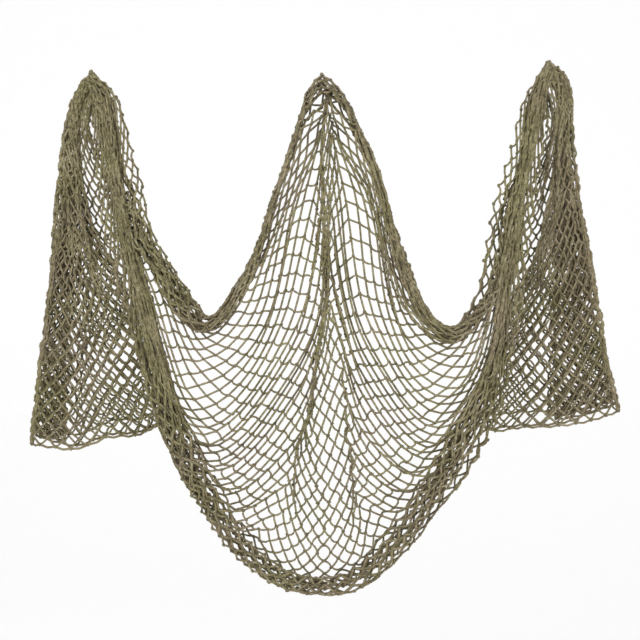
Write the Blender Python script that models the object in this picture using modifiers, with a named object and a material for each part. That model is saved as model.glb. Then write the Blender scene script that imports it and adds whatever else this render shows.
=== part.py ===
"""A fishing net, hung as a swag from three points, as one draped sheet.

The net is a long rectangle. Its whole width is gathered at the left and the right hang points,
so that a tail falls outside each of them, and only its top edge is caught up at the centre one.
The sheet is laid out flat as a grid first, with its columns running along the net, from the left
tail's hem to the right tail's hem, and its rows running across it, from the top edge to the lower
edge. Each grid point is then moved to where it hangs. The origin is the centre hang point, X runs
right, Y runs back and Z runs up. Tables and named sizes are in millimetres.
"""

import bpy
import numpy as np

MM = 0.001
SHEET_THICKNESS = 3.0
NET_NAME = "net"
COLLECTION_NAME = "fishing_net"
TWINE_COLOUR = (0.171, 0.150, 0.098, 1.0)
TWINE_ROUGHNESS = 0.9

# Cells of the flat grid along each stretch of the net, and across its width
TAIL_CELLS = 15
SWAG_CELLS = 60
WIDTH_CELLS = 28
SAMPLES_PER_POINT = 24

# The net's two long edges, as the (x, z) points that they pass through, in four stretches: the
# left tail from its hem up, the swag in two halves that meet under the centre hang point, and the
# right tail down
TOP_EDGE = (
    ((-676, -849), (-669, -745), (-653, -617), (-638, -480), (-627, -375), (-625, -285),
     (-614, -190), (-602, -110), (-583, -45), (-531, 9)),
    ((-531, 9), (-474, -44), (-442, -129), (-419, -230), (-389, -336), (-345, -428),
     (-290, -515), (-240, -576), (-196, -482), (-156, -382), (-129, -290), (-99, -207),
     (-69, -120), (-39, -37), (0, 4)),
    ((0, 4), (48, -37), (92, -115), (138, -216), (168, -331), (205, -437), (239, -529),
     (294, -584), (350, -492), (375, -377), (393, -276), (421, -184), (444, -101),
     (467, -37), (522, 35)),
    ((522, 35), (573, -14), (586, -120), (593, -240), (614, -400), (637, -560), (660, -690),
     (680, -770)),
)
LOW_EDGE = (
    ((-336, -812), (-362, -738), (-390, -640), (-418, -530), (-446, -420), (-474, -310),
     (-504, -210), (-532, -130), (-531, -66)),
    ((-531, -66), (-524, -130), (-522, -210), (-508, -310), (-488, -410), (-460, -510),
     (-430, -610), (-400, -705), (-374, -790), (-336, -890), (-280, -1000), (-206, -1104),
     (-118, -1166), (-56, -1185), (8, -1191)),
    ((8, -1191), (70, -1180), (130, -1152), (210, -1085), (268, -1010), (330, -930),
     (372, -850), (404, -770), (428, -680), (448, -590), (464, -480), (480, -370),
     (496, -260), (508, -160), (514, -58)),
    ((514, -58), (515, -130), (492, -220), (466, -330), (442, -440), (420, -550),
     (396, -660), (372, -745), (352, -800)),
)

# The centre peak lies between the lowest points of the top edge; its sections keep to their own
# side of its axis, within this many times their distance from it, and fall at least this steeply
PEAK_LEFT, PEAK_RIGHT, PEAK_AXIS = -240, 294, 6
PEAK_SPREAD, PEAK_FALL = 1.6, 0.6

# How strongly a section leaves the edges square to them, over how many stations an edge's run is
# averaged, and the share of a stretch near an outer hang point where sections are straight
EDGE_LEAN = 0.9
LEAN_STATIONS = 3
NECK_REACH = 0.06

# Shares of the width that are bunched at the top edge and along the lower edge, and how wide those
# bands hang: the lower one is wide on the swag's flanks and narrow at its rim
TOP_SHARE, TOP_BAND = 0.10, 28
LOW_SHARE, FLANK_BAND, RIM_BAND, RIM_REACH = 0.36, 92, 48, 0.13

# How far back the tails hang, how far forward the gathered bundles, the pouch and its rim come,
# and the shares of a tail and of the swag over which they do so. A pouch rise under 1 puts the
# pouch's fullest point above the middle of its section
TAIL_SET_BACK, TAIL_REACH = 46, 0.4
BUNDLE_FORWARD, BUNDLE_REACH = 24, 0.06
POUCH_FORWARD, POUCH_RISE = 50, 0.8
RIM_FORWARD = 18

# Pleats along the net: across is the share of the width where each lies, half its half width,
# height how far it stands back, or forward if negative, and start and end its reach as shares of
# the stretch, counted from the hang point in a tail, where an end past 1 reaches the hem
LEFT_TAIL_PLEATS = (
    # across, half, height, start, end
    (0.05, 0.040, -24, 0.0, 1.2),
    (0.17, 0.045, 20, 0.0, 1.1),
    (0.32, 0.060, -22, 0.0, 1.2),
    (0.50, 0.055, 16, 0.2, 1.2),
    (0.63, 0.050, -15, 0.0, 0.9),
    (0.80, 0.055, 14, 0.3, 1.2),
)
RIGHT_TAIL_PLEATS = (
    (0.06, 0.045, -22, 0.0, 1.2),
    (0.18, 0.050, 22, 0.0, 1.2),
    (0.30, 0.050, -24, 0.0, 1.1),
    (0.43, 0.050, 18, 0.1, 1.2),
    (0.58, 0.060, -18, 0.0, 0.9),
    (0.78, 0.060, 14, 0.2, 1.2),
)
SWAG_PLEATS = (
    (0.045, 0.035, -15, 0.01, 0.99),
    (0.22, 0.060, 13, 0.01, 0.32),
    (0.38, 0.060, -13, 0.02, 0.30),
    (0.24, 0.060, 14, 0.69, 0.99),
    (0.40, 0.055, -15, 0.71, 0.98),
    (0.56, 0.050, 10, 0.03, 0.28),
    (0.67, 0.036, -20, 0.03, 0.97),
    (0.77, 0.036, 14, 0.06, 0.94),
    (0.865, 0.034, -19, 0.03, 0.97),
    (0.955, 0.030, 12, 0.08, 0.92),
)
PLEAT_EASE = 0.10
PLEAT_UNEVENNESS = 0.22
TAIL_PLEAT_GROWTH, SWAG_PLEAT_GROWTH = 1.5, 8

# Folds that fall from the centre hang point, each through three points, with how far it stands
# forward and its half width
FALLS = (
    # top (x, z), middle (x, z), bottom (x, z), height, half width
    ((2, -30), (12, -300), (16, -700), 26, 17),
    ((14, -540), (-30, -800), (-92, -1040), 17, 17),
    ((20, -540), (58, -800), (86, -1090), 19, 17),
    ((24, -50), (118, -350), (194, -890), 13, 15),
    ((40, -30), (128, -290), (262, -650), 20, 19),
    ((-30, -40), (-70, -330), (-125, -760), 10, 20),
)
FALL_EASE = 70


def smooth_line(points, cells):
    """A smooth line through the points, with evenly spaced stations. Each stretch between two
    points is a cubic whose end slopes follow the neighbouring points."""
    p = np.array(points, float)
    before = np.vstack((2 * p[0] - p[1], p[:-1]))
    after = np.vstack((p[1:], 2 * p[-1] - p[-2]))
    slope = (after - before) / 2
    u = np.linspace(0, 1, SAMPLES_PER_POINT, endpoint=False)[:, None, None]
    inner = hermite(u, p[:-1], p[1:], slope[:-1], slope[1:])
    line = np.vstack((inner.transpose(1, 0, 2).reshape(-1, 2), p[-1:]))
    way = np.concatenate(([0], np.cumsum(np.linalg.norm(np.diff(line, axis=0), axis=1))))
    stations = np.linspace(0, way[-1], cells + 1)
    return np.stack([np.interp(stations, way, line[:, k]) for k in (0, 1)], axis=1)


def hermite(u, start, end, start_slope, end_slope):
    """The cubic from start to end with the given slopes, at the share u of its way."""
    return (
        (2 * u**3 - 3 * u**2 + 1) * start
        + (u**3 - 2 * u**2 + u) * start_slope
        + (3 * u**2 - 2 * u**3) * end
        + (u**3 - u**2) * end_slope
    )


def net_edge(stretches):
    """One long edge of the net: its stretches end to end."""
    cells = (TAIL_CELLS, SWAG_CELLS // 2, SWAG_CELLS // 2, TAIL_CELLS)
    lines = [smooth_line(points, n) for points, n in zip(stretches, cells)]
    return np.vstack([lines[0]] + [line[1:] for line in lines[1:]])


def square_to(edge):
    """Unit directions square to an edge, to the right of its run, which is averaged over a few
    stations."""
    run = np.gradient(edge, axis=0)
    window = np.ones(2 * LEAN_STATIONS + 1)
    padded = np.pad(run, ((LEAN_STATIONS, LEAN_STATIONS), (0, 0)), mode="edge")
    run = np.stack([np.convolve(padded[:, k], window, "valid") for k in (0, 1)], axis=1)
    run /= np.linalg.norm(run, axis=1)[:, None]
    return np.stack((run[:, 1], -run[:, 0]), axis=1)


def smooth_step(value):
    """0 below 0, 1 above 1, and a smooth rise between."""
    v = np.clip(value, 0, 1)
    return v * v * (3 - 2 * v)


def stretch_shares():
    """For each station along the net: its share of the way from a hang point to the hem in a tail,
    0 in the swag, and its share of the way along the swag, 0 or 1 in the tails."""
    station = np.arange(2 * TAIL_CELLS + SWAG_CELLS + 1)
    swag = np.clip((station - TAIL_CELLS) / SWAG_CELLS, 0, 1)
    left = np.clip((TAIL_CELLS - station) / TAIL_CELLS, 0, 1)
    right = np.clip((station - TAIL_CELLS - SWAG_CELLS) / TAIL_CELLS, 0, 1)
    return left, swag, right


def front_view(across):
    """(x, z) of every grid point, and its share of the way down its section. Each station's section
    is a cubic from the top edge to the lower edge that leaves both square to them, and is straight
    near an outer hang point. The width is bunched in a band at each end of it."""
    top, low = net_edge(TOP_EDGE), net_edge(LOW_EDGE)
    left, swag, right = stretch_shares()
    gap = np.linalg.norm(low - top, axis=1)[:, None]
    from_hang = np.abs(left - swag) * np.abs(right + 1 - swag)
    straight = np.exp(-((from_hang / NECK_REACH) ** 2))[:, None]
    top_slope = (1 - straight) * square_to(top) * gap * EDGE_LEAN + straight * (low - top)
    low_slope = (1 - straight) * square_to(low) * gap * EDGE_LEAN + straight * (low - top)
    in_peak = (top[:, 0] > PEAK_LEFT) & (top[:, 0] < PEAK_RIGHT)
    limit = PEAK_SPREAD * np.abs(top[in_peak, 0] - PEAK_AXIS)
    top_slope[in_peak, 0] = np.clip(top_slope[in_peak, 0], -limit, limit)
    top_slope[in_peak, 1] = np.minimum(top_slope[in_peak, 1], -PEAK_FALL * gap[in_peak, 0])

    at_rim = np.exp(-(((swag - 0.5) / RIM_REACH) ** 2))
    low_band = FLANK_BAND + (RIM_BAND - FLANK_BAND) * at_rim
    in_swag = (swag > 0) & (swag < 1)
    top_end = np.where(in_swag, np.minimum(TOP_SHARE, TOP_BAND / gap[:, 0]), TOP_SHARE)
    low_end = np.where(in_swag, np.minimum(LOW_SHARE, low_band / gap[:, 0]), LOW_SHARE)
    marks = (0, TOP_SHARE, 1 - LOW_SHARE, 1)
    way = [np.interp(across, marks, (0, a, 1 - b, 1)) for a, b in zip(top_end, low_end)]
    way = np.array(way)[..., None]
    section = (edge[:, None] for edge in (top, low, top_slope, low_slope))
    return hermite(way, *section), way[..., 0]


def pleat_depth(pleats, along, across, growth):
    """How far back a stretch's pleats stand: bell-shaped across the width, easing in and out along
    the stretch, and a little uneven. They grow from nothing at the hang points."""
    depth = np.zeros((len(along), len(across)))
    for number, (place, half, height, start, end) in enumerate(pleats):
        reach = smooth_step((along - start) / PLEAT_EASE) * smooth_step((end - along) / PLEAT_EASE)
        uneven = 1 + PLEAT_UNEVENNESS * np.sin(along * (9 + 2 * number) + number)
        bell = np.exp(-(((across - place) / half) ** 2))
        depth += height * (reach * uneven * growth)[:, None] * bell
    return depth


def fall_depth(x, z):
    """How far forward the folds under the centre hang point stand, as a negative depth. Each runs
    down the parabola through its three points and is bell-shaped across, and where two meet the
    higher one counts."""
    depth = np.zeros_like(x)
    for top, middle, bottom, height, half in FALLS:
        heights = [point[1] for point in (top, middle, bottom)]
        curve = np.polyfit(heights, [point[0] for point in (top, middle, bottom)], 2)
        ease = smooth_step((top[1] - z) / FALL_EASE) * smooth_step((z - bottom[1]) / FALL_EASE)
        bell = np.exp(-(((x - np.polyval(curve, z)) / half) ** 2))
        depth = np.minimum(depth, -height * ease * bell)
    return depth


def hanging_points():
    """Every grid point where it hangs, in metres, as an array of stations by points across."""
    across = np.linspace(0, 1, WIDTH_CELLS + 1)
    front, way = front_view(across)
    left, swag, right = stretch_shares()
    tail = np.maximum(left, right)[:, None]
    from_end = np.minimum(swag, 1 - swag)
    arch = np.sin(np.pi * swag)[:, None]
    at_centre = np.exp(-(((swag - 0.5) / RIM_REACH) ** 2))[:, None]
    bundle = smooth_step(from_end / BUNDLE_REACH)[:, None] * (1 - at_centre * (1 - way))
    left_growth, right_growth = (np.minimum(1, TAIL_PLEAT_GROWTH * side) for side in (left, right))
    swag_growth = np.minimum(1, SWAG_PLEAT_GROWTH * from_end)
    depth = (
        TAIL_SET_BACK * smooth_step(tail / TAIL_REACH)
        - BUNDLE_FORWARD * bundle
        - POUCH_FORWARD * arch**2 * np.sin(np.pi * way**POUCH_RISE)
        - RIM_FORWARD * arch * way
        + pleat_depth(LEFT_TAIL_PLEATS, left, across, left_growth)
        + pleat_depth(RIGHT_TAIL_PLEATS, right, across, right_growth)
        + pleat_depth(SWAG_PLEATS, swag, across, swag_growth)
        + fall_depth(front[..., 0], front[..., 1])
    )
    return np.stack((front[..., 0], depth, front[..., 1]), axis=-1) * MM


def clear_scene():
    for item in list(bpy.data.objects):
        bpy.data.objects.remove(item, do_unlink=True)


def twine_material():
    material = bpy.data.materials.new("olive_twine")
    material.use_nodes = True
    shader = material.node_tree.nodes["Principled BSDF"]
    shader.inputs["Base Color"].default_value = TWINE_COLOUR
    shader.inputs["Roughness"].default_value = TWINE_ROUGHNESS
    shader.inputs["Metallic"].default_value = 0.0
    return material


def build_net(collection):
    """The flat grid, each of its points moved to where it hangs, with the sheet's thickness."""
    columns = 2 * TAIL_CELLS + SWAG_CELLS
    bpy.ops.mesh.primitive_grid_add(x_subdivisions=columns, y_subdivisions=WIDTH_CELLS, size=2)
    net = bpy.context.active_object
    net.name = net.data.name = NET_NAME
    flat = np.empty(len(net.data.vertices) * 3)
    net.data.vertices.foreach_get("co", flat)
    flat = flat.reshape(-1, 3)
    station = np.rint((flat[:, 0] + 1) / 2 * columns).astype(int)
    across = np.rint((1 - flat[:, 1]) / 2 * WIDTH_CELLS).astype(int)
    net.data.vertices.foreach_set("co", hanging_points()[station, across].ravel())
    net.data.update()

    thickness = net.modifiers.new("thickness", "SOLIDIFY")
    thickness.thickness = SHEET_THICKNESS * MM
    thickness.offset = 0
    net.data.materials.append(twine_material())
    net.data.shade_smooth()
    for other in list(net.users_collection):
        other.objects.unlink(net)
    collection.objects.link(net)


def main():
    clear_scene()
    collection = bpy.data.collections.new(COLLECTION_NAME)
    bpy.context.scene.collection.children.link(collection)
    build_net(collection)


main()
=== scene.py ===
import math
from collections import namedtuple

import bpy
import numpy as np
from bpy.props import FloatProperty, FloatVectorProperty, IntProperty, PointerProperty
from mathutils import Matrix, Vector


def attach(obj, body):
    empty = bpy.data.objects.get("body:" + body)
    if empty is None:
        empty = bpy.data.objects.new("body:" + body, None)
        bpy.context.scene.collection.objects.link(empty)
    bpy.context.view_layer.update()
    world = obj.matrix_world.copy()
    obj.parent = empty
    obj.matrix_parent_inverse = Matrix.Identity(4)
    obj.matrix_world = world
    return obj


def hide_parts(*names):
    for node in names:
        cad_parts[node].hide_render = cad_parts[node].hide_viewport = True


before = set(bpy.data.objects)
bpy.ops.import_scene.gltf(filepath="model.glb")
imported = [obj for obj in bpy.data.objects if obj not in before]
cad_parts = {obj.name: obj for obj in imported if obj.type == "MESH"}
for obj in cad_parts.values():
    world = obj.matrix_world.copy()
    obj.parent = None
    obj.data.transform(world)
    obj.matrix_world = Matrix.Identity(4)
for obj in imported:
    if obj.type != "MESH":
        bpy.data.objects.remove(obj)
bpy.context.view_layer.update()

bl_info = {
    "name": "Hanging fishing net",
    "version": (1, 0, 0),
    "blender": (4, 5, 0),
    "location": "3D View > Sidebar > Net",
    "description": "Knots a twine net into the swag in which it hangs from three points",
    "category": "Add Mesh",
}

MM = 0.001
NODE = "net"

# Edges of the hanging net in the front view, x and z in millimetres from the centre hang point.
# Four stretches each: left tail from its hem up, left and right half of the swag, right tail down.
TOP_EDGE = (
    ((-668, -849), (-660, -745), (-644, -617), (-632, -480), (-622, -375), (-619, -285),
     (-603, -190), (-589, -110), (-569, -45), (-531, 9)),
    ((-531, 9), (-477, -44), (-445, -129), (-422, -230), (-392, -336), (-348, -428),
     (-294, -513), (-256, -560), (-192, -482), (-146, -382), (-117, -290), (-86, -207),
     (-56, -120), (-30, -37), (0, 4)),
    ((0, 4), (44, -37), (87, -115), (131, -216), (162, -331), (199, -437), (233, -529),
     (292, -582), (354, -492), (376, -377), (395, -276), (423, -184), (446, -101),
     (473, -37), (522, 35)),
    ((522, 35), (567, -14), (574, -120), (590, -240), (619, -400), (643, -560), (668, -690),
     (684, -770)),
)
LOW_EDGE = (
    ((-336, -812), (-362, -738), (-390, -640), (-418, -530), (-446, -420), (-474, -310),
     (-504, -210), (-532, -130), (-531, -66)),
    ((-531, -66), (-524, -130), (-522, -210), (-508, -310), (-488, -410), (-460, -510),
     (-430, -610), (-400, -705), (-374, -790), (-336, -888), (-277, -996), (-200, -1095),
     (-112, -1159), (-52, -1179), (8, -1185)),
    ((8, -1185), (66, -1175), (124, -1143), (200, -1073), (258, -1000), (320, -924),
     (365, -848), (401, -770), (428, -680), (448, -590), (464, -480), (480, -370),
     (496, -260), (508, -160), (514, -58)),
    ((514, -58), (515, -130), (492, -220), (466, -330), (442, -440), (420, -550),
     (396, -660), (372, -745), (352, -800)),
)

# Slopes of the sections across the net where they leave its edges: square to an edge, by a share of the gap
# to the other one; straight across within a share of the outer hang points; and in the middle peak no
# further out than a multiple of the distance from its axis, and down by at least a share of the gap.
EDGE_LEAN, NECK_REACH = 0.9, 0.06
PEAK_LEFT, PEAK_RIGHT, PEAK_AXIS = -240, 294, 6
PEAK_SPREAD, PEAK_FALL = 1.6, 0.6
# stations on either side over which an edge's run is averaged
LEAN_STATIONS = 6
# points worked out between two given ones of an edge, and along each section for its own length and for
# the rows spread over it
EDGE_POINTS, SECTION_POINTS, SPREAD_POINTS = 24, 97, 401

# Depth of the hanging net, in millimetres; y is negative in front. How far back the tails lie and how far
# forward the swag does, away from the hang points, with the share of tail or swag in which that sets in;
# how far forward the pouch bulges, with the power of the way down that places its deepest part; and how far
# forward the low edge hangs.
TAIL_SET_BACK, TAIL_REACH = 46, 0.4
SWAG_FORWARD, SWAG_REACH = 24, 0.06
POUCH_FORWARD, POUCH_RISE = 50, 0.8
RIM_FORWARD = 18
# how far from its middle the swag still has the centre hang point and the rim's lowest place, as a share
RIM_REACH = 0.13
# how far forward the depth begins to be pressed together, and the room left past that
FRONT_FROM, FRONT_ROOM = 55, 42

# Folds that fall from the top edge: the points of a fold's line from the top down, its height, half its
# width, and how far it draws the net towards its line within what reach, in millimetres.
Fall = namedtuple("Fall", "points height half_width draw draw_reach")
FALLS = (
    Fall(((8, 60), (14, -200), (17, -560), (17, -760)), 16, 46, 78, 120),
    Fall(((0, 20), (-3, -300), (-13, -480), (-18, -640)), 8, 9, 14, 22),
    Fall(((12, 20), (28, -140), (40, -300), (46, -640)), 8, 9, 14, 22),
    Fall(((-12, -460), (-20, -600), (-34, -745), (-58, -870), (-90, -1080)), 18, 14, 30, 60),
    Fall(((46, -460), (48, -600), (54, -745), (66, -870), (90, -1120)), 18, 14, 40, 60),
    Fall(((64, -180), (118, -350), (160, -600), (190, -890)), 12, 13, 16, 60),
    Fall(((84, -160), (134, -290), (214, -490), (300, -660)), 18, 17, 26, 60),
    Fall(((-45, -150), (-70, -330), (-125, -760)), 8, 18, 8, 60),
)
# in what height a fall sets in and ends, in millimetres, and the most that it draws, as a share of the way
FALL_EASE, FALL_TAPER, FALL_LIMIT = 110, 260, 0.85
# share of the top band's rows past which the falls draw the net, and in how many rows that sets in
LOOSE_FROM, LOOSE_EASE = 0.7, 8

# Half meshes along the left tail, the swag and the right tail, and across the net.
LEFT_MESHES, SWAG_MESHES, RIGHT_MESHES, MESHES_ACROSS = 44, 120, 42, 94
# panels side by side, with the first and the last station of each
PANELS = (
    ("left_tail", 0, 44),
    ("left_flank", 44, 74),
    ("left_pouch", 74, 104),
    ("right_pouch", 104, 134),
    ("right_flank", 134, 164),
    ("right_tail", 164, 206),
)
# steps in which half a mesh is worked out across the net, and half meshes on either side over which the
# folded line is averaged
PARTS_OF_A_MESH, SLOW_MESHES = 8, 6
# How much further apart than the average the stations stand at the centre hang point: in the open net by
# the top edge, on the selvedge itself, and along the low edge.
TOP_SPREADING, SELVEDGE_SPREADING, LOW_SPREADING = 0.35, 0.0, 0.0

# The bands of gathered rows along both edges. Places are shares of half the swag from the centre hang point,
# and widths are in millimetres.
# rows in the top band: at the centre hang point, how many more past what distance, and past the valleys
TIP_ROWS, EDGE_ROWS, EDGE_ROWS_REACH = 24, 8, 0.1
TOP_ROWS, RIGHT_TOP_ROWS = 38, 40
# its width: at the centre hang point and its reach, on the way to the valleys, and past them
TIP_BAND, TIP_REACH = 56, 0.06
LEFT_EDGE_BAND, EDGE_BAND = 18, 40
TOP_BAND, RIGHT_TOP_BAND = 46, 44
# where both change by the valleys, and in what reach
VALLEY_FROM, VALLEY_REACH = 0.30, 0.22
# width of the low band on the flanks and at the rim's lowest place
FLANK_BAND, RIM_BAND = 82, 36
# the most of a section's length that the top and the low band may be
TOP_BAND_LIMIT, LOW_BAND_LIMIT = 0.15, 0.45
# rows in the low band: the fewest anywhere, and the most on the flanks, from where and in what reach
LOW_ROWS_AT_LEAST = 20
FLANK_LOW_ROWS, FLANK_FROM, FLANK_REACH = 29, 0.53, 0.12
# light strip of net outside the top band, at the left and the right flank, from where and in what reach
FRINGES, FRINGES_FROM, FRINGES_REACH = (14, 55), 0.45, 0.2
# the same outside the low band of the right flank, with its middle height and reach, and the share of it by
# which the band moves in there
LOW_FRINGE, LOW_FRINGE_AT, LOW_FRINGE_REACH, LOW_FRINGE_SHARE = 50, -760, 240, 0.6
# how dense the net is in such a strip, as a share of the band's density
FRINGE_DENSITY = 0.28
# in how many millimetres the top band, the low band and the strips set in
TOP_EASE, LOW_EASE, FRINGE_EASE = 12, 26, 10
# the left valley's band parts in two: after how many rows, how far, in how many rows that sets in, and how
# many rows it reaches; and where it parts, with half the length of that
PARTING_ROW, PARTING_GAP, PARTING_EASE, PARTING_ROWS = 9, 11, 1.2, 50
PARTING_AT, PARTING_REACH = 0.45, 0.055
# height of a row in the open net at a depth below the centre hang point
ROW_HEIGHTS = ((0, 22), (450, 20.5), (900, 18), (1191, 14.5))

# The net's whole width is gathered up to this share of half the swag from an outer hang point, and spreads
# out over the next.
GATHERED_TO, GATHERED_EASE = 0.12, 0.40
# relative layers there, across the tail's side from its outer edge and across the swag's side from its top
# edge
TAIL_NECK = ((0, 2), (0.06, 10), (0.22, 10), (0.30, 0.5), (0.8, 0.4), (1, 0.7))
SWAG_NECK = ((0, 0.5), (0.22, 0.5), (0.32, 10), (0.58, 10), (0.68, 0.4), (1, 0.4))
# how unevenly the gathered rows lie, and into how many strands
STRAND_DEPTH, STRANDS = 0.7, 6.0
# how many more layers the outer rows of the swag have right by the outer hang points, within what share of
# half the swag and of the way across
HANG_LAYERS, HANG_REACH, HANG_ACROSS = 4, 0.08, 0.35
# where the net turns back in a tail: shares of its rows, and shares across the tail from its outer edge
LEFT_TURNS = ((0, 0), (0.07, 0.05), (0.28, 1.05), (0.49, 0), (0.545, 0.27), (0.6, 0.02), (0.65, 0.25),
              (0.7, 0), (0.97, 1.05), (1, 0.95))
RIGHT_TURNS = ((0, 0), (0.07, 0.05), (0.26, 1.05), (0.45, 0), (0.54, 0.47), (0.63, 0.02), (0.72, 0.53),
               (0.81, 0), (1, 1.05))
# how far all of them lie further out than the tables say, and the share of a tail in which they set in
TURNS_OUT, TURNS_REACH = 0.04, 0.8
# how far back each pass lies, and how much higher its hem hangs, than in the one in front of it
PASS_STEP, PASS_DROP = 7.5, 5.5
# width of a flat row, as a share of its width in a square mesh, along a tail and along half the swag
TAIL_WIDTHS = ((0, 0.5), (0.3, 0.62), (1, 0.8))
SWAG_WIDTHS = ((0, 0.95), (0.5, 0.85), (0.8, 0.6), (1, 0.5))
# share of the way across the net, and the folds made up to there: in the swag and in the tails
SWAG_FOLDS = ((0.0, 0.0), (0.33, 5.0), (0.47, 6.0), (1.0, 12.0))
TAIL_FOLDS = ((0.0, 0.0), (1.0, 6.5))

# Slow random waves, with their size and how many of them go along and across the net: in where the strands
# lie, how far the net folds and where, and where the tails turn back.
STRAND_WAVES = 0.30, (14, 5)
SWING_WAVES = 0.08, (24, 8)
PHASE_WAVES = 0.3, (16, 6)
TURN_WAVES = 0.045, (20, 24)
# the same in the knots' places, slow and quick ones, in millimetres in x, y and z
SLOW_WAVES, SLOW_COUNTS = (4, 5, 4), (60, 26)
QUICK_WAVES, QUICK_COUNTS = (2, 3, 2), (97, 39)

# Rounds of letting the bars take their length, how far a bar that is too long pulls and one that is too
# short presses, and how much of that a knot follows.
SETTLING_ROUNDS = 400
PULL, PRESS, FOLLOW = 0.5, 0.02, 0.45
# how firmly the edges and the open net keep their place, and how much more firmly the gathered net does
EDGE_HOLD, NET_HOLD, TAIL_HOLD = 0.25, 0.012, 0.03
# the same by the centre and by the outer hang points, within how many stations and rows
TIP_STATIONS, TIP_DEPTH, TIP_HOLD = 5, 32, 0.5
NECK_STATIONS, NECK_HOLD = 7, 0.3

# segments of a bar, sides of a bar and of the hem's twine, and how thick the hem's is beside a bar
BAR_PARTS, BAR_SIDES, HEM_SIDES, HEM_THICKNESS = 3, 5, 6, 1.1
# direction in which slack bars bow, and how much that differs at random
BOW_TOWARDS, BOW_SCATTER = (0, -0.2, -0.9), 0.8
# how much further on its twist starts in each next row of twine, in metres
TWIST_OFFSET = 0.37
# how far the hems hang below a straight line, at places across them, and how far their twine loops down
# between its knots, in millimetres
HEM_SAG = ((-676, -4), (-568, 15), (-499, -12), (-430, -3), (-380, -14), (-336, 0), (352, 0), (390, 16),
           (432, 6), (478, 2), (524, 9), (570, 11), (616, 7), (680, 0))
HEM_LOOP = 4
# a knot's size along the net, across it and outwards, beside its width
KNOT_SHAPE = (1, 0.8, 0.72)
# latitude of its outer rings in degrees, and how far each ring is turned from the last, in radians
KNOT_LATITUDE, KNOT_TURN = 48, 0.5
# how much its points differ, and its least and greatest scale
KNOT_SWELL, KNOT_SCALES = 0.16, (0.88, 1.14)

# Strands in the twine, and the noises of its tone, fibres, flecks and hue: scale, detail and roughness.
TWINE_STRANDS = 3
PATCHES, FIBRES, FLECKS, HUES = (16.0, 3.0, 0.6), (900.0, 2.0, 0.7), (130.0, 2.0, 0.6), (6.0, 2.0, 0.5)
# places of the dark, usual and pale twine in the mixed noise, and the flecks' share of it beside the patches
TONE_PLACES, FLECK_SHARE = (0.3, 0.52, 0.72), 0.6
# tints between which the hue varies, with their places
TINTS = ((0.38, (0.94, 0.97, 0.82, 1)), (0.62, (1, 0.97, 0.98, 1)))
# painted shade in the grooves and painted highlight on the strands, as the colour's brightness, and the least
# and greatest roughness
PAINTED_GROOVE_SHADING, ROUGHNESS = (0.62, 1.08), (0.72, 0.98)
# the bump's strength and depth, in metres, and how high the fibres are in it beside the strands
BUMP_STRENGTH, BUMP_DEPTH, FIBRE_HEIGHT = 0.7, 0.0008, 0.5

# The stage, in metres: half the width of the floor and backdrop, its front end, where it bends up, the
# radius of the bend, the floor's height and the backdrop's top.
SWEEP_HALF_WIDTH, SWEEP_FRONT, BEND_FROM, BEND = 9.0, -9.0, 3.4, 1.2
FLOOR_HEIGHT, BACKDROP_TOP = -1.75, 7.0
# softboxes with their place, size and power, and the place that they are turned to
SOFTBOXES = (
    ("key_softbox", (-1.8, -2.6, 1.6), 1.6, 40),
    ("fill_softbox", (2.4, -2.6, 0.4), 2.0, 22),
)
LIT_PLACE = (0, 0, -0.55)
ROOM_LIGHT = 0.85
CAMERA_PLACE, LENS, SENSOR = (-0.0046, -3.475, -0.561), 85, 36


def hermite(u, start, end, start_slope, end_slope):
    """Cubic from start to end whose slopes at u = 0 and u = 1 are given."""
    return (
        (2 * u**3 - 3 * u**2 + 1) * start
        + (u**3 - 2 * u**2 + u) * start_slope
        + (3 * u**2 - 2 * u**3) * end
        + (u**3 - u**2) * end_slope
    )


def smooth_step(v):
    """0 up to v = 0, 1 from v = 1, and 3v2 - 2v3 between."""
    v = np.clip(v, 0, 1)
    return v * v * (3 - 2 * v)


def bell(v):
    """1 at v = 0, and less on both sides as the exponential of -v2."""
    return np.exp(-(v**2))


def look_up(at, table):
    """Second column of a table at the given places in its first, in straight lines between its rows."""
    return np.interp(at, *zip(*table))


def between(values):
    """Means of neighbouring values along each row."""
    return (values[:, 1:] + values[:, :-1]) / 2


def summed(steps):
    """Running sums along each row, from 0."""
    return np.concatenate((np.zeros((len(steps), 1)), np.cumsum(steps, axis=1)), axis=1)


def total(values):
    """Sum of each row, as a column."""
    return values.sum(axis=1, keepdims=True)


def unit(vectors):
    """Vectors of length 1 in the same directions."""
    return vectors / np.maximum(np.linalg.norm(vectors, axis=-1, keepdims=True), 1e-9)


def edge_line(stretches):
    """An edge as a dense line: cubics through its points with each slope half of the way between the
    neighbours. Returns the points, the way along at each, and the ways at the stretches' ends."""
    lines, ends = [], [0]
    for points in stretches:
        p = np.array(points, float)
        before = np.vstack((2 * p[0] - p[1], p[:-1]))
        after = np.vstack((p[1:], 2 * p[-1] - p[-2]))
        slope = (after - before) / 2
        u = np.linspace(0, 1, EDGE_POINTS, endpoint=False)[:, None, None]
        inner = hermite(u, p[:-1], p[1:], slope[:-1], slope[1:])
        lines.append(inner.transpose(1, 0, 2).reshape(-1, 2))
        ends.append(ends[-1] + len(lines[-1]))
    line = np.vstack(lines + [p[-1:]])
    way = np.concatenate(([0], np.cumsum(np.linalg.norm(np.diff(line, axis=0), axis=1))))
    return line, way, way[ends]


def read_line(line, way, at):
    """Points of a dense line at the given ways along it."""
    return np.stack([np.interp(at, way, line[:, k]) for k in (0, 1)], axis=-1)


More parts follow.
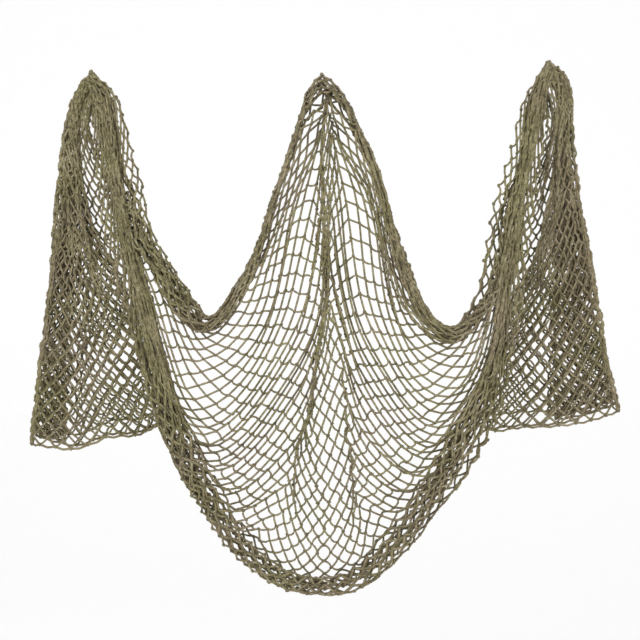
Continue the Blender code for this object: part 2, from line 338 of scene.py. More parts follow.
def station_ways(ends, spreading):
    """Ways at which the stations stand along an edge: evenly on the tails, and on each half of the swag
    wider apart towards the centre hang point, at u - spreading * sin(pi u) / pi from the outer one."""
    ways = []
    for number, cells in enumerate((LEFT_MESHES, SWAG_MESHES // 2, SWAG_MESHES // 2, RIGHT_MESHES)):
        u = np.linspace(0, 1, cells + 1)[min(number, 1):]
        side = (0, -1, 1, 0)[number]
        share = u + side * spreading * np.sin(np.pi * u) / np.pi
        ways.append(ends[number] + (ends[number + 1] - ends[number]) * share)
    return np.concatenate(ways)


def square_to(edge):
    """Directions square to an edge, from its run averaged over some stations on either side."""
    run = np.gradient(edge, axis=0)
    k = LEAN_STATIONS
    padded = np.pad(run, ((k, k), (0, 0)), mode="edge")
    run = np.stack([np.convolve(padded[:, i], np.ones(2 * k + 1), "valid") for i in (0, 1)], axis=1)
    run /= np.linalg.norm(run, axis=1)[:, None]
    return np.stack((run[:, 1], -run[:, 0]), axis=1)


def fall_line(fall, z):
    """Middle of a fold at height z: the line through its points."""
    points = np.array(fall.points[::-1], float)
    return np.interp(z, points[:, 1], points[:, 0])


def fall_reach(fall, z):
    """1 along the fold, eased to 0 towards its two ends."""
    top, foot = fall.points[0][1], fall.points[-1][1]
    return smooth_step((top - z) / FALL_EASE) * smooth_step((z - foot) / FALL_TAPER)


def drift(rng, shape, size, counts):
    """Slow random waves between about -size and size: a coarse grid of random numbers read with cubic
    B-spline weights, times 1.6 for what those level out."""
    waves = rng.uniform(-1, 1, (counts[0] + 4, counts[1] + 4))
    for axis in (0, 1):
        x = np.linspace(1, counts[axis] + 1, shape[axis])
        i = np.floor(x).astype(int)
        f = x - i
        weights = np.stack(((1 - f) ** 3, 3 * f**3 - 6 * f**2 + 4,
                            -3 * f**3 + 3 * f**2 + 3 * f + 1, f**3)) / 6
        taken = [np.take(waves, np.clip(i - 1 + k, 0, counts[axis] + 3), axis=axis) for k in range(4)]
        form = (slice(None), None) if axis == 0 else (None, slice(None))
        waves = sum(weights[k][form] * taken[k] for k in range(4))
    return size * (1.6 * waves)


def swing_for(layers):
    """Slope swing a of a wavy line that lies in so many layers: it keeps the share J0(a) of its length,
    the mean of cos(a sin v) over a turn, and this is read backwards."""
    a = np.linspace(0, 2.36, 200)
    kept = np.cos(a[:, None] * np.sin(np.linspace(0, np.pi, 64, endpoint=False))).mean(axis=1)
    return np.interp(-1 / np.maximum(layers, 1.0), -kept, a)


class Drape:
    """The hanging net: its edges, its sections and how its rows of meshes are spread over each. Its columns
    hold a number for each station, from the left tail's hem to the right tail's."""

    def __init__(self, half):
        self.half = half
        self.top_line, self.top_way, top_ends = edge_line(TOP_EDGE)
        low_line, low_way, low_ends = edge_line(LOW_EDGE)
        self.at = station_ways(top_ends, TOP_SPREADING)[:, None]
        self.selvedge_at = station_ways(top_ends, SELVEDGE_SPREADING)[:, None]
        self.top = read_line(self.top_line, self.top_way, self.at[:, 0])
        self.low = read_line(low_line, low_way, station_ways(low_ends, LOW_SPREADING))
        station = np.arange(len(self.top))[:, None]
        self.swag = np.clip((station - LEFT_MESHES) / SWAG_MESHES, 0, 1)
        self.left = np.clip((LEFT_MESHES - station) / LEFT_MESHES, 0, 1)
        self.right = np.clip((station - LEFT_MESHES - SWAG_MESHES) / RIGHT_MESHES, 0, 1)
        self.tail = np.maximum(self.left, self.right)
        self.on_left = self.swag < 0.5
        self.from_centre = np.abs(2 * self.swag - 1)
        self.past_valleys = smooth_step((self.from_centre - VALLEY_FROM) / VALLEY_REACH)
        self.rim = bell((self.swag - 0.5) / RIM_REACH)
        spread_out = smooth_step((1 - self.from_centre - GATHERED_TO) / GATHERED_EASE)
        self.gathered = np.where(self.tail > 0, 1, 1 - spread_out)
        self.set_slopes()
        self.u = np.linspace(0, 1, SECTION_POINTS)[None].repeat(len(station), 0)
        self.way = summed(np.linalg.norm(np.diff(self.curve(self.u), axis=1), axis=2))
        self.length = self.way[:, -1:]

    def set_slopes(self):
        """Slopes of the sections at both edges: square to them, straight across near the outer hang points,
        and kept close to the axis in the middle peak."""
        top, low = self.top, self.low
        gap = np.linalg.norm(low - top, axis=1)[:, None]
        from_hang = np.abs(self.left - self.swag) * np.abs(self.right + 1 - self.swag)
        straight = bell(from_hang / NECK_REACH)
        self.top_slope = (1 - straight) * square_to(top) * gap * EDGE_LEAN + straight * (low - top)
        self.low_slope = (1 - straight) * square_to(low) * gap * EDGE_LEAN + straight * (low - top)
        peak = (top[:, 0] > PEAK_LEFT) & (top[:, 0] < PEAK_RIGHT)
        limit = PEAK_SPREAD * np.abs(top[peak, 0] - PEAK_AXIS)
        self.top_slope[peak, 0] = np.clip(self.top_slope[peak, 0], -limit, limit)
        self.top_slope[peak, 1] = np.minimum(self.top_slope[peak, 1], -PEAK_FALL * gap[peak, 0])

    def curve(self, u):
        """Front view of the sections: cubics from the top to the low edge with the slopes set at both."""
        parts = [e[:, None] for e in (self.top, self.low, self.top_slope, self.low_slope)]
        return hermite(u[..., None], *parts)

    def front(self, share):
        """Front view at shares of each section's own length, and the cubics' parameter there."""
        u = np.array([np.interp(s * w[-1], w, v) for s, w, v in zip(share, self.way, self.u)])
        return self.curve(u), u

    def depth(self, u, front):
        """How far back the net lies, at the sections' parameter u and their front view: the tails set back,
        the swag, its pouch and its rim forward, and the falls as ridges."""
        swag = self.swag
        arch = np.sin(np.pi * swag)
        away = smooth_step(np.minimum(swag, 1 - swag) / SWAG_REACH) * (1 - self.rim * (1 - u))
        ridge = np.zeros(front.shape[:2])
        for fall in FALLS:
            off = (front[..., 0] - fall_line(fall, front[..., 1])) / fall.half_width
            ridge = np.minimum(ridge, -fall.height * fall_reach(fall, front[..., 1]) * bell(off))
        return (
            TAIL_SET_BACK * smooth_step(self.tail / TAIL_REACH)
            - SWAG_FORWARD * away
            - POUCH_FORWARD * arch**2 * np.sin(np.pi * u**POUCH_RISE)
            - RIM_FORWARD * arch * u
            + ridge
        )

    def top_rows(self):
        """Rows gathered in the band along the top edge: fewest at the centre hang point, most past the
        valleys, and none on the tails."""
        most = np.where(self.on_left, TOP_ROWS, RIGHT_TOP_ROWS)
        fewest = TIP_ROWS + EDGE_ROWS * smooth_step(self.from_centre / EDGE_ROWS_REACH)
        return np.where(self.tail > 0, 0, fewest + (most - fewest) * self.past_valleys)

    def bands(self):
        """Widths of the bands along the top and the low edge."""
        edge = np.where(self.on_left, LEFT_EDGE_BAND, EDGE_BAND)
        widest = np.where(self.on_left, TOP_BAND, RIGHT_TOP_BAND)
        top = edge + (widest - edge) * self.past_valleys
        top = np.maximum(top, TIP_BAND * bell(self.from_centre / TIP_REACH))
        low = FLANK_BAND + (RIM_BAND - FLANK_BAND) * self.rim
        return np.minimum(top, TOP_BAND_LIMIT * self.length), np.minimum(low, LOW_BAND_LIMIT * self.length)

    def fringes(self):
        """Widths of the light strips outside both bands: only on the flanks, and the low one on the right."""
        width = np.where(self.on_left, *FRINGES)
        top = width * smooth_step((self.from_centre - FRINGES_FROM) / FRINGES_REACH)
        low = LOW_FRINGE * bell((self.low[:, 1:] - LOW_FRINGE_AT) / LOW_FRINGE_REACH) * (self.swag > 0.5)
        return top, low

    def swag_rows(self, x, step):
        """Rows for each millimetre at way x down the sections of the swag: the top band holds its rows, the
        open net has the table's row height, and the low band takes the rows that are left. The open net
        takes over those that are too many for it on the flanks, and makes up for too few anywhere."""
        top_rows, length = self.top_rows(), self.length
        (top_band, low_band), (top_fringe, low_fringe) = self.bands(), self.fringes()
        at_top = smooth_step((top_band + top_fringe - x) / TOP_EASE + 0.5) + 1e-6
        at_low = smooth_step((x - length + low_band + LOW_FRINGE_SHARE * low_fringe) / LOW_EASE + 0.5) + 1e-6
        for band, past_fringe in ((at_top, x - top_fringe), (at_low, length - low_fringe - x)):
            band *= FRINGE_DENSITY + (1 - FRINGE_DENSITY) * smooth_step(past_fringe / FRINGE_EASE + 0.5)
        front, _ = self.front(x / length)
        open_net = (1 - np.minimum(at_top, 1)) * (1 - at_low) / look_up(-front[..., 1], ROW_HEIGHTS)
        below = MESHES_ACROSS - top_rows
        crowd = np.maximum((below - FLANK_LOW_ROWS) / total(open_net * step), 1)
        open_net *= 1 + (crowd - 1) * smooth_step((self.from_centre - FLANK_FROM) / FLANK_REACH)
        open_rows = total(open_net * step)
        too_few = below - open_rows < LOW_ROWS_AT_LEAST
        open_net *= np.where(too_few, (below - LOW_ROWS_AT_LEAST) / open_rows, 1)
        at_top *= top_rows / total(at_top * step)
        at_low *= np.maximum(below - open_rows, LOW_ROWS_AT_LEAST) / total(at_low * step)
        return open_net + at_top + at_low

    def gathered_rows(self, x, rng):
        """Rows for each millimetre at way x down the sections on the tails and by the outer hang points, up
        to a factor: the tables' layers, in strands that waver."""
        strand = 2 * np.pi * (STRANDS * x / self.length + drift(rng, x.shape, *STRAND_WAVES))
        across = x / self.length
        layers = np.where(self.tail > 0, look_up(across, TAIL_NECK), look_up(across, SWAG_NECK))
        by_hang = bell((1 - self.from_centre) / HANG_REACH) * (self.tail == 0) * (across < HANG_ACROSS)
        return (layers + HANG_LAYERS * by_hang) * np.exp(STRAND_DEPTH * np.cos(strand))

    def spread(self, x, rng):
        """Rows of the net for each millimetre at way x down the sections, and how wide a row lies there
        when it is flat: the swag's rows and the gathered ones, blended, each as many as the net has."""
        step = np.gradient(x, axis=1)
        open_net, gathered_net = (net * MESHES_ACROSS / total(net * step)
                                  for net in (self.swag_rows(x, step), self.gathered_rows(x, rng)))
        net = (1 - self.gathered) * open_net + self.gathered * gathered_net
        widths = look_up(self.tail, TAIL_WIDTHS), look_up(self.from_centre, SWAG_WIDTHS)
        return net, self.half * np.where(self.tail > 0, *widths)


def slow_part(lines):
    """Running mean along each row over some meshes on either side, weighted by a Hann window."""
    k = SLOW_MESHES * PARTS_OF_A_MESH
    window = np.hanning(2 * k + 1) / np.hanning(2 * k + 1).sum()
    return np.array([np.convolve(np.pad(line, k, mode="edge"), window, "valid") for line in lines])


def folded_rows(drape, rng):
    """Share of the way down its section, and depth, of each row at each station. Across each section the
    net folds to and fro as a sine-generated line: its slope angle is A sin(2 pi phase), with A chosen from
    the layers wanted there, so it keeps its length. Where the line as a whole wanders off the place that
    its rows should have, its slow part is put right."""
    x = np.linspace(0, 1, SPREAD_POINTS)[None] * drape.length
    net, row_width = drape.spread(x, rng)
    rows = summed(between(net) * np.diff(x, axis=1))
    rows /= rows[:, -1:]
    fine = np.linspace(0, 1, MESHES_ACROSS * PARTS_OF_A_MESH + 1)
    place = np.array([np.interp(fine, r, v) for r, v in zip(rows, x)])
    layers = row_width * np.array([np.interp(p, v, r) for p, v, r in zip(place, x, net)])
    swing = swing_for(layers) * (1 + drift(rng, place.shape, *SWING_WAVES))
    phase = ((1 - drape.gathered) * look_up(fine, SWAG_FOLDS) + drape.gathered * look_up(fine, TAIL_FOLDS)
             + drift(rng, place.shape, *PHASE_WAVES))
    slope = between(swing * np.sin(2 * np.pi * phase))
    step = row_width / PARTS_OF_A_MESH
    run, deep = summed(np.cos(slope) * step), summed(np.sin(slope) * step)
    share = run / run[:, -1:]
    share = np.clip(share + slow_part(place / drape.length - share), 0, 1)
    return share[:, ::PARTS_OF_A_MESH], (deep - slow_part(deep))[:, ::PARTS_OF_A_MESH]


def turned_rows(turns):
    """Share across a tail and number of its pass, counted from the middle one, at each row: the net turns
    to and fro at the given places."""
    rows, shares = np.array(turns, float).T
    at = np.linspace(0, 1, MESHES_ACROSS + 1)
    passes = np.arange(len(rows) - 1)
    return np.interp(at, rows, shares), np.interp(at, (rows[1:] + rows[:-1]) / 2, passes - passes.mean())


def tails_turned(drape, share, deep, rng):
    """The rows' shares and depths with the tails turned to and fro, and how much higher each row hangs for
    that. A tail's rows go over from the hang point's bundle to its passes on the way down."""
    rise = 0
    for turns, side in ((LEFT_TURNS, drape.left), (RIGHT_TURNS, drape.right)):
        turned, passes = turned_rows(turns)
        reach = smooth_step(side / TURNS_REACH)
        turned = np.clip(turned - TURNS_OUT + drift(rng, share.shape, *TURN_WAVES), 0, 1)
        share = (1 - reach) * share + reach * turned
        deep = (1 - reach) * deep + reach * PASS_STEP * passes
        rise = rise + reach * PASS_DROP * (passes - passes.min())
    return share, deep, rise


def drawn_by_falls(knots, loose):
    """The knots drawn towards each fall's line, by draw * tanh(off / half width) faded out with a bell, and
    no further than a share of the way to it."""
    for fall in FALLS:
        off = knots[..., 0] - fall_line(fall, knots[..., 2])
        draw = fall.draw * np.tanh(off / fall.half_width) * bell(off / fall.draw_reach)
        most = FALL_LIMIT * np.abs(off)
        knots[..., 0] -= loose * fall_reach(fall, knots[..., 2]) * np.clip(draw, -most, most)
    return knots


def hanging_knots(sizes):
    """Knots of the net as an array (station, row, xyz) in millimetres; a knot sits where station + row is
    even. The folded rows are parted at the left valley and laid on their sections, the rows of the top band
    are carried along the edge to where the selvedge is, the depth is pressed together far in front, and
    the falls' pull, the hems' sag and slow random waves are added before the net settles."""
    rng = np.random.default_rng(sizes.seed)
    drape = Drape(sizes.bar_length / MM / math.sqrt(2))
    share, deep, rise = tails_turned(drape, *folded_rows(drape, rng), rng)
    row = np.arange(MESHES_ACROSS + 1)[None]
    parted = PARTING_GAP * bell((drape.from_centre - PARTING_AT) / PARTING_REACH) * drape.on_left
    parted = parted * np.tanh((row - PARTING_ROW) / PARTING_EASE) * bell(row / PARTING_ROWS)
    front, u = drape.front(np.clip(share + parted / drape.length, 0, 1))
    carried = np.clip(1 - row / np.maximum(drape.top_rows(), 1e-3), 0, 1)
    at = drape.at + carried * (drape.selvedge_at - drape.at)
    front = front + read_line(drape.top_line, drape.top_way, at) - drape.top[:, None]
    back = drape.depth(u, front) + deep
    past = -FRONT_FROM - back
    back = np.where(past > 0, -FRONT_FROM - FRONT_ROOM * np.tanh(past / FRONT_ROOM), back)
    knots = np.stack((front[..., 0], back, front[..., 1] + rise), axis=-1)
    knots = drawn_by_falls(knots, smooth_step((row - LOOSE_FROM * drape.top_rows()) / LOOSE_EASE))
    knots[..., 2] -= look_up(knots[..., 0], HEM_SAG) * drape.tail**3
    for axis in range(3):
        slow = drift(rng, knots.shape[:2], SLOW_WAVES[axis], SLOW_COUNTS)
        knots[..., axis] += slow + drift(rng, knots.shape[:2], QUICK_WAVES[axis], QUICK_COUNTS)
    return settled(knots, sizes.bar_length / MM, drape.gathered)


def around(field):
    """Sum of the four neighbours of each place in a field, with nothing past its ends."""
    wide = np.pad(field, ((1, 1), (1, 1), (0, 0)))
    return wide[:-2, 1:-1] + wide[2:, 1:-1] + wide[1:-1, :-2] + wide[1:-1, 2:]


def settled(knots, bar, gathered):
    """Knots after their bars have pulled them: in each round every bar that is too long draws its knots
    together, a short one presses them a little apart, and each knot is drawn back towards where it was
    placed, firmly on the edges. The places between the knots are then the means of their neighbours."""
    n, m = knots.shape[:2]
    tied = (np.add.outer(np.arange(n), np.arange(m)) % 2 == 0)[..., None]
    hold = np.full((n, m, 1), NET_HOLD) + TAIL_HOLD * gathered[..., None]
    hold[:, :1] = hold[:, -1:] = EDGE_HOLD
    hold[:1] = hold[-1:] = EDGE_HOLD
    left, centre, right = hangs = LEFT_MESHES, LEFT_MESHES + SWAG_MESHES // 2, LEFT_MESHES + SWAG_MESHES
    hold[centre - TIP_STATIONS:centre + TIP_STATIONS + 1, :TIP_DEPTH] = TIP_HOLD
    for station in (left, right):
        hold[station - NECK_STATIONS:station + NECK_STATIONS + 1] = NECK_HOLD
    hold[hangs, 0] = 1
    home, here = knots, knots.copy()
    ahead, behind = slice(1, None), slice(None, -1)
    pairs = (((behind, behind), (ahead, ahead)), ((behind, ahead), (ahead, behind)))
    for _ in range(SETTLING_ROUNDS):
        move = np.zeros_like(here)
        for a, b in pairs:
            chord = here[b] - here[a]
            span = np.linalg.norm(chord, axis=2, keepdims=True)
            pull = np.where(span > bar, PULL, PRESS) * (span - bar) / np.maximum(span, 1e-6) * chord * tied[a]
            move[a] += pull
            move[b] -= pull
        here += tied * (FOLLOW * move + hold * (home - here))
    return np.where(tied, here, around(here) / around(np.ones((n, m, 1))))


def mesh_object(name, points, quads, tris, uv, material):
    """Object whose mesh holds the points (n x 3), the quads and triangles (rows of point numbers) and the
    faces' corner uv."""
    mesh = bpy.data.meshes.new(name)
    corners = np.concatenate((quads.ravel(), tris.ravel())).astype(np.int32)
    sizes = np.concatenate((np.full(len(quads), 4), np.full(len(tris), 3))).astype(np.int32)
    mesh.vertices.add(len(points))
    mesh.vertices.foreach_set("co", np.ascontiguousarray(points, np.float32).ravel())
    mesh.loops.add(len(corners))
    mesh.loops.foreach_set("vertex_index", corners)
    mesh.polygons.add(len(sizes))
    mesh.polygons.foreach_set("loop_start", np.concatenate(([0], np.cumsum(sizes)[:-1])).astype(np.int32))
    mesh.polygons.foreach_set("use_smooth", np.ones(len(sizes), bool))
    layer = mesh.uv_layers.new(name="twine")
    layer.data.foreach_set("uv", np.ascontiguousarray(uv, np.float32).ravel())
    mesh.update(calc_edges=True)
    mesh.validate()
    mesh.materials.append(material)
    piece = bpy.data.objects.new(name, mesh)
    bpy.context.scene.collection.objects.link(piece)
    return piece


def twine_lines(lines, radius, sides):
    """Closed tubes along lines (rows x points x xyz): a ring of some sides at each point, carried along so
    that it doesn't turn, and a point at each end. Returns points, quads, triangles and corner uv, with u
    the way along in metres and v the way round."""
    rows, count = lines.shape[:2]
    run = unit(np.gradient(lines, axis=1))
    side = np.empty_like(run)
    side[:, 0] = unit(np.cross(run[:, 0], (0.0, 1.0, 0.02)))
    for k in range(1, count):
        kept = side[:, k - 1] - (side[:, k - 1] * run[:, k]).sum(axis=1, keepdims=True) * run[:, k]
        side[:, k] = unit(kept)
    other = np.cross(run, side)
    angle = 2 * np.pi * np.arange(sides) / sides
    ring = (np.cos(angle)[:, None] * side[:, :, None] + np.sin(angle)[:, None] * other[:, :, None])
    tube = lines[:, :, None] + radius * ring
    number = np.arange(rows * count * sides).reshape(rows, count, sides)
    a, b = number[:, :-1], number[:, 1:]
    quads = np.stack((a, np.roll(a, -1, axis=2), np.roll(b, -1, axis=2), b), axis=-1).reshape(-1, 4)
    ends = np.stack((lines[:, 0], lines[:, -1]), axis=1)
    tip = number.size + np.arange(rows * 2).reshape(rows, 2)
    first, last = number[:, 0], number[:, -1]
    start = np.stack(np.broadcast_arrays(np.roll(first, -1, axis=1), first, tip[:, :1]), axis=-1)
    stop = np.stack(np.broadcast_arrays(last, np.roll(last, -1, axis=1), tip[:, 1:]), axis=-1)
    tris = np.concatenate((start.reshape(-1, 3), stop.reshape(-1, 3)))
    way = summed(np.linalg.norm(np.diff(lines, axis=1), axis=2)) + TWIST_OFFSET * np.arange(rows)[:, None]
    turn = np.arange(sides) / sides
    u = np.stack((way[:, :-1], way[:, :-1], way[:, 1:], way[:, 1:]), -1)[:, :, None]
    v = np.stack((turn, turn + 1 / sides, turn + 1 / sides, turn), -1)
    uv = np.stack(np.broadcast_arrays(u, v), -1).reshape(-1, 2)
    uv = np.concatenate((uv, np.zeros((tris.size, 2))))
    points = np.concatenate((tube.reshape(-1, 3), ends.reshape(-1, 3)))
    return points, quads, tris, uv


def knot_lumps(centres, along, outward, sizes_of, rng):
    """Knots as squat lumps: three rings of five points and two poles about each centre, each point and lump
    swollen a little differently. Their uv, which has no direction, runs on in uneven steps."""
    rings, sides = 3, 5
    latitude = np.radians((-KNOT_LATITUDE, 0, KNOT_LATITUDE))
    angle = 2 * np.pi * np.arange(sides) / sides
    a = angle + KNOT_TURN * np.arange(rings)[:, None]
    level, height = np.cos(latitude)[:, None], np.broadcast_to(np.sin(latitude)[:, None], a.shape)
    ball = np.stack((level * np.cos(a), level * np.sin(a), height), axis=-1).reshape(-1, 3)
    ball = np.concatenate((ball, [(0, 0, -1), (0, 0, 1)]))
    count = len(centres)
    across = unit(np.cross(outward, along))
    along = np.cross(across, outward)
    frame_of = np.stack((along * sizes_of[0], across * sizes_of[1], outward * sizes_of[2]), axis=1)
    swell = 1 + rng.uniform(-KNOT_SWELL, KNOT_SWELL, (count, len(ball)))
    scale = rng.uniform(*KNOT_SCALES, (count, 1, 1))
    points = centres[:, None] + scale * np.einsum("kc,ncx->nkx", ball, frame_of) * swell[..., None]
    ring = np.arange(rings * sides).reshape(rings, sides)
    quads = np.stack((ring[:-1], np.roll(ring[:-1], -1, axis=1), np.roll(ring[1:], -1, axis=1), ring[1:]),
                     axis=-1).reshape(-1, 4)
    low, high = rings * sides, rings * sides + 1
    tris = np.concatenate((
        np.stack((np.roll(ring[0], -1), ring[0], np.full(sides, low)), -1),
        np.stack((ring[-1], np.roll(ring[-1], -1), np.full(sides, high)), -1),
    ))
    base = (np.arange(count) * len(ball))[:, None, None]
    quads, tris = (quads[None] + base).reshape(-1, 4), (tris[None] + base).reshape(-1, 3)
    corner = np.arange(len(quads) * 4 + len(tris) * 3)
    uv = np.stack((0.011 * (corner % 97), (corner % 7) / 7), axis=-1)
    return points.reshape(-1, 3), quads, tris, uv


def joined(*meshes):
    """Several (points, quads, tris, uv) as one."""
    points, quads, tris, uv = zip(*meshes)
    starts = np.cumsum([0] + [len(p) for p in points[:-1]])
    uv = [u[:q.size] for u, q in zip(uv, quads)] + [u[q.size:] for u, q in zip(uv, quads)]
    quads, tris = ([faces + start for faces, start in zip(kind, starts)] for kind in (quads, tris))
    return tuple(np.concatenate(part) for part in (points, quads, tris, uv))


def set_inputs(node, values):
    """Sets a node's own sockets to the named values."""
    for name, value in values.items():
        node.inputs[name].default_value = value


def twine_material(colours):
    """Twisted olive twine: slanting strand ridges from the uv, in the bump and in the colour as painted shade
    in the grooves and painted highlight on the strands, and fibres and patches of tone and hue from noise on
    the object's own coordinates."""
    material = bpy.data.materials.new("olive_twine")
    material.use_nodes = True
    nodes, links = material.node_tree.nodes, material.node_tree.links
    shader = nodes["Principled BSDF"]

    def node(kind, *first, **values):
        """New node. Its first inputs and those named take the values given, and an output is linked."""
        made = nodes.new(kind)
        for key, value in (*values.items(), *enumerate(first)):
            if isinstance(key, str) and key not in made.inputs:
                setattr(made, key, value)
            elif isinstance(value, bpy.types.NodeSocket):
                links.new(value, made.inputs[key])
            else:
                made.inputs[key].default_value = value
        return made

    def maths(operation, *values):
        return node("ShaderNodeMath", *values, operation=operation).outputs[0]

    def noise(scale, detail, roughness):
        made = node("ShaderNodeTexNoise", Vector=place, Scale=scale, Detail=detail, Roughness=roughness)
        return made.outputs["Fac"]

    def ramp(fac, *stops):
        made = node("ShaderNodeValToRGB", Fac=fac)
        elements = made.color_ramp.elements
        for element, (at, colour) in zip(elements, (stops[0], stops[-1])):
            element.position, element.color = at, colour
        for at, colour in stops[1:-1]:
            elements.new(at).color = colour
        return made.outputs["Color"]

    def times(first, second):
        made = node("ShaderNodeMix", data_type="RGBA", blend_type="MULTIPLY", Factor=1.0, A=first, B=second)
        return made.outputs["Result"]

    def within(value, low, high):
        return node("ShaderNodeMapRange", Value=value, **{"To Min": low, "To Max": high}).outputs["Result"]

    place = node("ShaderNodeTexCoord").outputs["Object"]
    uv = node("ShaderNodeSeparateXYZ", node("ShaderNodeUVMap", uv_map="twine").outputs["UV"]).outputs
    turns = maths("ADD", maths("MULTIPLY", uv["X"], 1 / colours.twist_length), uv["Y"])
    ridge = maths("SINE", maths("MULTIPLY", turns, 2 * math.pi * TWINE_STRANDS))
    lifted = maths("MULTIPLY_ADD", ridge, 0.5, 0.5)
    patches, fibres, flecks, hues = (noise(*sizes) for sizes in (PATCHES, FIBRES, FLECKS, HUES))
    mixed = maths("MULTIPLY_ADD", flecks, FLECK_SHARE, maths("MULTIPLY", patches, 1 - FLECK_SHARE))
    tones = [(*tone, 1) for tone in (colours.dark_twine, colours.twine, colours.light_twine)]
    tinted = times(ramp(mixed, *zip(TONE_PLACES, tones)), ramp(hues, *TINTS))
    # painted shade in the grooves between the strands and painted highlight on their crests, multiplied into
    # the twine's colour
    colour = times(tinted, within(lifted, *PAINTED_GROOVE_SHADING))
    height = maths("MULTIPLY_ADD", fibres, FIBRE_HEIGHT, lifted)
    bump = node("ShaderNodeBump", Strength=BUMP_STRENGTH, Distance=BUMP_DEPTH, Height=height)
    links.new(colour, shader.inputs["Base Color"])
    links.new(bump.outputs["Normal"], shader.inputs["Normal"])
    links.new(within(fibres, *ROUGHNESS), shader.inputs["Roughness"])
    set_inputs(shader, {"Specular IOR Level": 0.12, "Sheen Weight": 0.12, "Sheen Roughness": 0.55})
    return material


class NetSizes(bpy.types.PropertyGroup):
    bar_length: FloatProperty(
        name="Bar length", description="Twine from one knot to the next", default=0.0275,
        unit="LENGTH", min=0.015, max=0.05)
    twine_diameter: FloatProperty(
        name="Twine diameter", description="Thickness of the twisted twine", default=0.005,
        unit="LENGTH", min=0.001, max=0.006)
    knot_width: FloatProperty(
        name="Knot width", description="Width of a knot along the net", default=0.0102,
        unit="LENGTH", min=0.003, max=0.015)
    slack: FloatProperty(
        name="Slack", description="Share of its spare length by which a slack bar bows", default=0.6,
        subtype="FACTOR", min=0.0, max=1.0)
    seed: IntProperty(
        name="Seed", description="Starts the small random differences in the folds and knots", default=7)


class NetColours(bpy.types.PropertyGroup):
    twine: FloatVectorProperty(
        name="Twine", description="Usual tone of the twine", subtype="COLOR", size=3,
        default=(0.32, 0.275, 0.163), min=0.0, max=1.0)
    dark_twine: FloatVectorProperty(
        name="Dark twine", description="Tone of its darkest stretches", subtype="COLOR", size=3,
        default=(0.125, 0.104, 0.053), min=0.0, max=1.0)
    light_twine: FloatVectorProperty(
        name="Light twine", description="Tone of its palest stretches", subtype="COLOR", size=3,
        default=(0.54, 0.48, 0.33), min=0.0, max=1.0)
    twist_length: FloatProperty(
        name="Twist length", description="Way along the twine in which its strands turn once",
        default=0.012, unit="LENGTH", min=0.004, max=0.05)
    floor: FloatVectorProperty(
        name="Floor", description="Colour of the floor and backdrop", subtype="COLOR", size=3,
        default=(0.92, 0.92, 0.92), min=0.0, max=1.0)


def knot_net(context):
    """Knots of the whole net in metres, with the directions along the net and out of it at each."""
    sizes = context.scene.net_sizes
    knots = hanging_knots(sizes) * MM
    along = np.gradient(knots, axis=0)
    across = np.gradient(knots, axis=1)
    return knots, unit(along), unit(np.cross(along, across))


def bowed_bars(knots, sizes, first, last, rng):
    """Rows of twine from station first to last. Each row zigzags between two rows of knots, and a bar whose
    knots are nearer than its length bows, mostly down and a little at random, by the square root of 3/8 of
    its length times what is spare."""
    station = np.arange(first, last + 1)
    row = np.arange(MESHES_ACROSS)[:, None]
    place = knots[station[None], row + (station[None] + row) % 2]
    a, b = place[:, :-1], place[:, 1:]
    chord = b - a
    span = np.linalg.norm(chord, axis=2, keepdims=True)
    spare = np.clip(sizes.bar_length / np.maximum(span, 1e-6) - 1, 0, 0.5)
    bow = span * np.sqrt(3 / 8 * spare) * sizes.slack
    towards = rng.normal(0, BOW_SCATTER, chord.shape) + np.array(BOW_TOWARDS)
    run = unit(chord)
    towards = unit(towards - (towards * run).sum(axis=2, keepdims=True) * run)
    u = (np.arange(BAR_PARTS) / BAR_PARTS)[None, None, :, None]
    bars = a[:, :, None] + chord[:, :, None] * u + (bow * towards)[:, :, None] * 4 * u * (1 - u)
    return np.concatenate((bars.reshape(MESHES_ACROSS, -1, 3), place[:, -1:]), axis=1)


def hem_line(knots, station):
    """Twine along an end of the net: through that station's knots, with a loop down between each two."""
    place = knots[station, station % 2::2]
    middle = (place[1:] + place[:-1]) / 2 - (0, 0, HEM_LOOP * MM)
    loops = np.stack((place[:-1], middle), axis=1).reshape(-1, 3)
    return np.concatenate((loops, place[-1:]))[None]


class NET_OT_knot_panels(bpy.types.Operator):
    """Knots the net's panels, from the left tail's hem to the right tail's"""

    bl_idname = "net.knot_panels"
    bl_label = "Knot the net"

    def execute(self, context):
        sizes = context.scene.net_sizes
        material = twine_material(context.scene.net_colours)
        knots, along, outward = knot_net(context)
        lump = [sizes.knot_width / 2 * k for k in KNOT_SHAPE]
        for name, first, last in PANELS:
            rng = np.random.default_rng(sizes.seed + first)
            lines = bowed_bars(knots, sizes, first, last, rng)
            bars = twine_lines(lines, sizes.twine_diameter / 2, BAR_SIDES)
            station, row = np.meshgrid(np.arange(first, last + (name == PANELS[-1][0])),
                                       np.arange(MESHES_ACROSS + 1), indexing="ij")
            tied = (station + row) % 2 == 0
            at = station[tied], row[tied]
            lumps = knot_lumps(knots[at], along[at], outward[at], lump, rng)
            hems = [twine_lines(hem_line(knots, end), HEM_THICKNESS * sizes.twine_diameter / 2, HEM_SIDES)
                    for end in (0, len(knots) - 1) if end in (first, last)]
            piece = mesh_object(name, *joined(bars, lumps, *hems), material)
            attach(piece, "root")
            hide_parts(NODE)
        return {"FINISHED"}


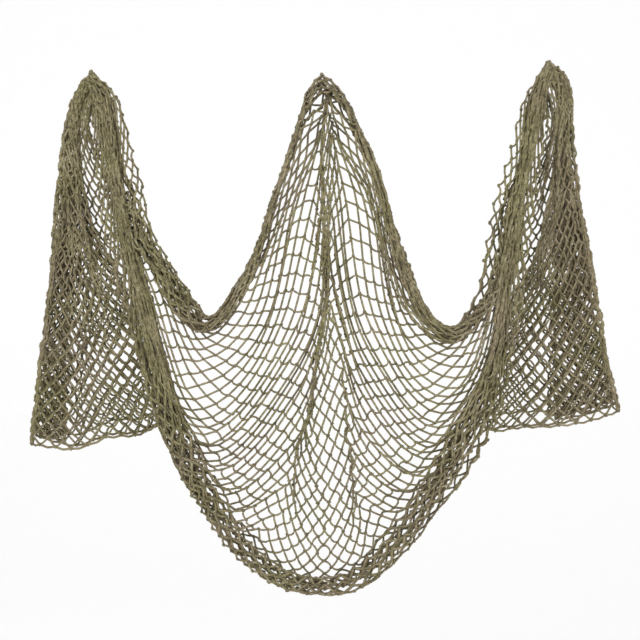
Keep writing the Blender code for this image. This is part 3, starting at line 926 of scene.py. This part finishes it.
class NET_OT_stage(bpy.types.Operator):
    """Sets the pale floor and backdrop, the soft lights and the camera"""

    bl_idname = "net.stage"
    bl_label = "Set the stage"

    def execute(self, context):
        scene = context.scene
        self.set_sweep(scene.net_colours)
        world = bpy.data.worlds.new("soft_room")
        world.use_nodes = True
        set_inputs(world.node_tree.nodes["Background"], {"Color": (1, 1, 1, 1), "Strength": ROOM_LIGHT})
        scene.world = world
        scene.view_settings.view_transform = "Standard"
        for name, place, size, power in SOFTBOXES:
            light = bpy.data.lights.new(name, "AREA")
            light.size, light.energy = size, power
            lamp = bpy.data.objects.new(name, light)
            lamp.location = place
            lamp.rotation_euler = (Vector(LIT_PLACE) - lamp.location).to_track_quat("-Z", "Y").to_euler()
            scene.collection.objects.link(lamp)
        lens = bpy.data.cameras.new("camera")
        lens.lens, lens.sensor_width = LENS, SENSOR
        camera = bpy.data.objects.new("camera", lens)
        camera.location = CAMERA_PLACE
        camera.rotation_euler = (math.pi / 2, 0, 0)
        scene.collection.objects.link(camera)
        scene.camera = camera
        return {"FINISHED"}

    def set_sweep(self, colours):
        """Floor and backdrop as one sheet, whose profile is two straight lines and a quarter circle."""
        paper = bpy.data.materials.new("pale_paper")
        paper.use_nodes = True
        set_inputs(paper.node_tree.nodes["Principled BSDF"], {
            "Base Color": (*colours.floor, 1), "Roughness": 0.95, "Specular IOR Level": 0.1,
            "Emission Color": (1, 1, 1, 1), "Emission Strength": 0.1})
        turn = np.radians(np.linspace(0, 90, 17))
        x = np.array((-SWEEP_HALF_WIDTH, SWEEP_HALF_WIDTH))[:, None]
        y = np.concatenate(([SWEEP_FRONT], BEND_FROM + BEND * np.sin(turn), [BEND_FROM + BEND]))
        z = np.concatenate(([FLOOR_HEIGHT], FLOOR_HEIGHT + BEND * (1 - np.cos(turn)), [BACKDROP_TOP]))
        points = np.stack(np.broadcast_arrays(x, y, z), -1)
        number = np.arange(2 * len(y)).reshape(2, -1)
        quads = np.stack((number[0, :-1], number[1, :-1], number[1, 1:], number[0, 1:]), axis=-1)
        mesh_object("floor_and_backdrop", points.reshape(-1, 3), quads,
                             np.zeros((0, 3), int), np.zeros((quads.size, 2)), paper)


class NET_PT_sidebar(bpy.types.Panel):
    """Sizes and colours of the net, and the buttons that make it"""

    bl_label = "Hanging net"
    bl_space_type = "VIEW_3D"
    bl_region_type = "UI"
    bl_category = "Net"

    def draw(self, context):
        for group in (context.scene.net_sizes, context.scene.net_colours):
            for name in group.__annotations__:
                self.layout.prop(group, name)
        for operator in OPERATORS:
            self.layout.operator(operator.bl_idname)


OPERATORS = (NET_OT_knot_panels, NET_OT_stage)
CLASSES = (NetSizes, NetColours, *OPERATORS, NET_PT_sidebar)


def register():
    for cls in CLASSES:
        bpy.utils.register_class(cls)
    bpy.types.Scene.net_sizes = PointerProperty(type=NetSizes)
    bpy.types.Scene.net_colours = PointerProperty(type=NetColours)


def unregister():
    del bpy.types.Scene.net_colours, bpy.types.Scene.net_sizes
    for cls in reversed(CLASSES):
        bpy.utils.unregister_class(cls)


def main():
    register()
    bpy.ops.net.knot_panels()
    bpy.ops.net.stage()


if __name__ == "__main__":
    main()
